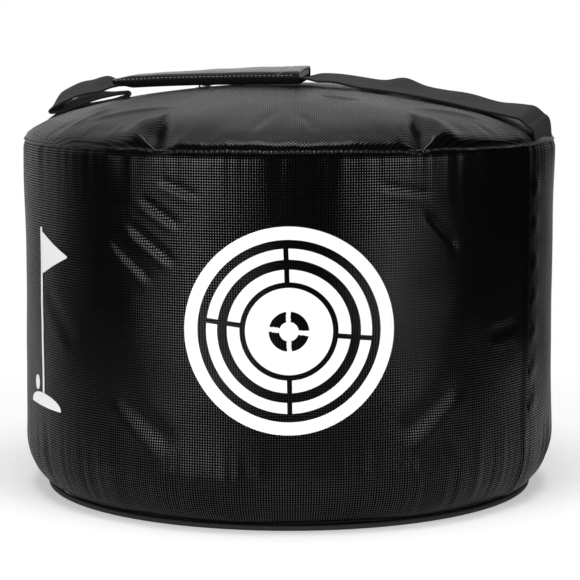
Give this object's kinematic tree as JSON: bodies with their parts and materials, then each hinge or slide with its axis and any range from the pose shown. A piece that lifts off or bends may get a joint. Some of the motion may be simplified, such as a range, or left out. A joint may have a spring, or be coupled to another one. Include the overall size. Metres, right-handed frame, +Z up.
{
  "type": "golf impact bag",
  "caption": "Short stuffed drum of coated fabric with a ring target on its side, a crowned lid with a filling zip, and a webbing strap with a padded grip.",
  "frame": {"origin": "centre of the flat base, where the drum's axis meets the floor", "axes": "+Z up along the drum's axis; -Y out through the middle of the ring target; +X to the right as one faces the target"},
  "size_m": [0.37, 0.3706, 0.2905],
  "materials": {
    "coated_fabric": "satin",
    "webbing": "matte",
    "tape": "matte",
    "zip_coil": "satin",
    "zip_metal": "satin",
    "grip_cover": "satin",
    "foam": "matte",
    "towels": "matte",
    "white_print": "satin"
  },
  "bodies": {
    "bag": {"bottom_panel": "coated_fabric", "bottom_seam_binding": "coated_fabric", "flag_ball": "white_print", "flag_mound": "white_print", "flag_pennant": "white_print", "flag_pole": "white_print", "side_panel": "coated_fabric", "strap_left": "webbing", "strap_right": "webbing", "stuffing": "towels", "target_bullseye": "white_print", "target_inner_ring_1": "white_print", "target_inner_ring_2": "white_print", "target_inner_ring_3": "white_print", "target_inner_ring_4": "white_print", "target_middle_ring_1": "white_print", "target_middle_ring_2": "white_print", "target_middle_ring_3": "white_print", "target_middle_ring_4": "white_print", "target_outer_ring": "white_print", "top_panel_back": "coated_fabric", "top_panel_front": "coated_fabric", "top_seam_binding": "tape", "zip_bottom_stop": "zip_coil", "zip_coil_back": "zip_coil", "zip_coil_front": "zip_coil", "zip_tape_back": "tape", "zip_tape_front": "tape", "zip_top_stop_back": "zip_coil", "zip_top_stop_front": "zip_coil"},
    "handle": {"grip_sleeve": "grip_cover", "grip_pad": "foam", "strap_middle": "webbing"},
    "zip_slider_body": {"zip_slider": "zip_metal"},
    "zip_pull_body": {"zip_pull": "zip_metal"}
  },
  "joints": [
    {"name": "handle_lift", "type": "slide", "parent": "bag", "child": "handle", "axis": [0.4708, -0.1714, 0.8654], "range_m": [0, 0.11], "deforming": ["strap_left", "strap_right"]},
    {"name": "zip_travel", "type": "hinge", "parent": "bag", "child": "zip_slider_body", "pos_m": [0, 0, -0.3395], "axis": [0.342, 0.9397, 0], "range_deg": [0, 15]},
    {"name": "zip_pull_turn", "type": "hinge", "parent": "zip_slider_body", "child": "zip_pull_body", "pos_m": [-0.06204, 0.06751, 0.27692], "axis": [-0.3496, -0.9345, 0.0672], "range_deg": [0, 150]}
  ]
}
